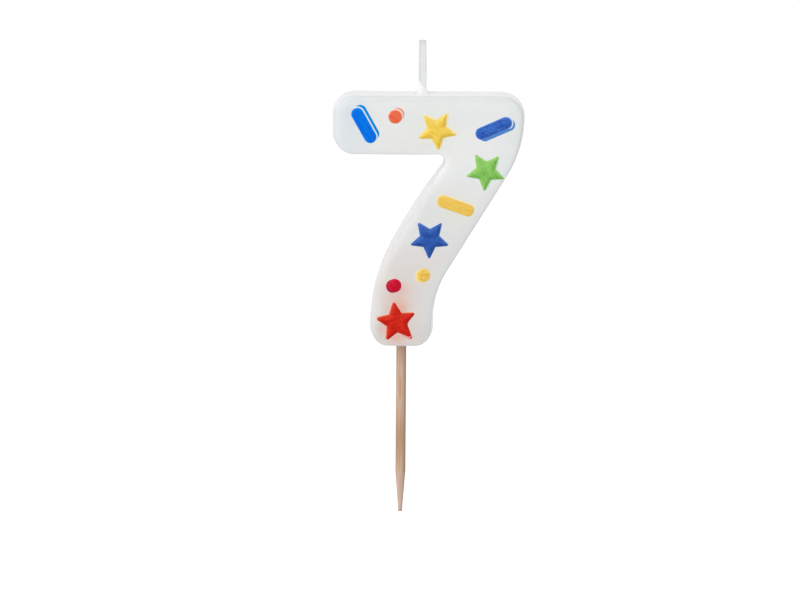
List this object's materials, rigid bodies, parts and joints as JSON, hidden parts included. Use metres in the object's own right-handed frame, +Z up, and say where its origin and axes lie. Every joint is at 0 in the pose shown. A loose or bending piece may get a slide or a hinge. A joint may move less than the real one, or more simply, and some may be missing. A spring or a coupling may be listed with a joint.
{
  "type": "number birthday candle",
  "caption": "Flat wax numeral seven on a pointed wooden stick, with coloured confetti shapes raised on its face and a waxed wick.",
  "frame": {"origin": "where the stick's axis enters the foot of the numeral, in the numeral's middle plane", "axes": "+Z up along the stick towards the wick, +X to the reader's right, +Y out of the plain back face; the confetti face looks along -Y"},
  "size_m": [0.0479, 0.0097, 0.1183],
  "materials": {
    "white_wax": "smooth milky candle wax, slightly translucent",
    "wick_cotton": "cotton cord stiffened with white wax",
    "stick_wood": "bare fine-grained wood",
    "sky_blue_wax": "coloured wax, soft gloss",
    "orange_wax": "coloured wax, soft gloss",
    "yellow_wax": "coloured wax, soft gloss",
    "royal_blue_wax": "coloured wax, soft gloss",
    "green_wax": "coloured wax, soft gloss",
    "crimson_wax": "coloured wax, soft gloss",
    "red_wax": "coloured wax, soft gloss"
  },
  "bodies": {
    "root": {"numeral_body": "white_wax", "wick": "wick_cotton", "wooden_stick": "stick_wood", "bar_sky_blue": "sky_blue_wax", "dot_orange": "orange_wax", "star_yellow": "yellow_wax", "bar_royal_blue": "royal_blue_wax", "star_green": "green_wax", "bar_yellow": "yellow_wax", "star_blue": "royal_blue_wax", "dot_yellow": "yellow_wax", "dot_crimson": "crimson_wax", "star_red": "red_wax"}
  },
  "joints": []
}
